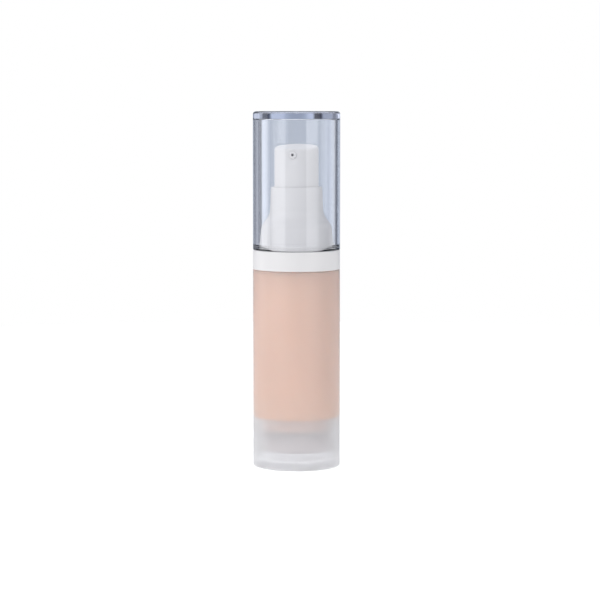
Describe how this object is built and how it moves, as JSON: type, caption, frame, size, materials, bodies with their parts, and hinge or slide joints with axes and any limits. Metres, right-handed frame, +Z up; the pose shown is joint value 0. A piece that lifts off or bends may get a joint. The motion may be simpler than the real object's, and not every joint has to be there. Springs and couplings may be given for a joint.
{
  "type": "foundation bottle",
  "caption": "Round airless pump bottle for liquid foundation, with a frosted body, a rising follower, a white shoulder collar and push button, and a clear lift-off overcap.",
  "frame": {"origin": "centre of the foot ring, on the surface that the bottle stands on", "axes": "+Z up along the bottle's axis, towards the overcap; -Y towards the nozzle"},
  "size_m": [0.031, 0.031, 0.1266],
  "materials": {
    "clear_tinted_plastic": "clear, polished, faintly blue-grey",
    "white_plastic": "semi-gloss, moulded",
    "frosted_plastic": "frosted, translucent",
    "natural_plastic": "unpigmented, waxy, translucent",
    "seal_plastic": "soft, dull",
    "foundation": "smooth cream, light beige",
    "spring_steel": "bright drawn wire and polished ball"
  },
  "bodies": {
    "bottle": {"bottle_body": "frosted_plastic", "foundation_fill": "foundation", "neck_gasket": "seal_plastic", "pump_seat": "white_plastic", "cylinder_gasket": "seal_plastic", "pump_cylinder": "natural_plastic", "stem_guide": "white_plastic", "pump_closure": "white_plastic", "return_spring": "spring_steel", "shoulder_collar": "white_plastic"},
    "follower": {"follower_piston": "natural_plastic"},
    "ball": {"inlet_ball": "spring_steel"},
    "stem": {"pump_stem": "white_plastic", "stem_tip": "white_plastic"},
    "piston": {"pump_piston": "seal_plastic"},
    "button": {"push_button": "white_plastic", "nozzle_insert": "white_plastic"},
    "cap": {"overcap": "clear_tinted_plastic"}
  },
  "joints": [
    {"name": "overcap_lift", "type": "slide", "parent": "bottle", "child": "cap", "axis": [0, 0, 1], "range_m": [0, 0.05]},
    {"name": "pump_press", "type": "slide", "parent": "bottle", "child": "stem", "axis": [0, 0, -1], "range_m": [0, 0.005], "stiffness_N_per_m": 1500, "springref_m": -0.004, "deforming": ["return_spring"]},
    {"name": "button_swivel", "type": "hinge", "parent": "stem", "child": "button", "pos_m": [0, 0, 0.105], "axis": [0, 0, 1], "continuous": true},
    {"name": "piston_slip", "type": "slide", "parent": "stem", "child": "piston", "axis": [0, 0, 1], "range_m": [0, 0.0006]},
    {"name": "inlet_ball_lift", "type": "slide", "parent": "bottle", "child": "ball", "axis": [0, 0, 1], "range_m": [0, 0.0009]},
    {"name": "follower_rise", "type": "slide", "parent": "bottle", "child": "follower", "axis": [0, 0, 1], "range_m": [0, 0.0544], "deforming": ["foundation_fill"]}
  ]
}
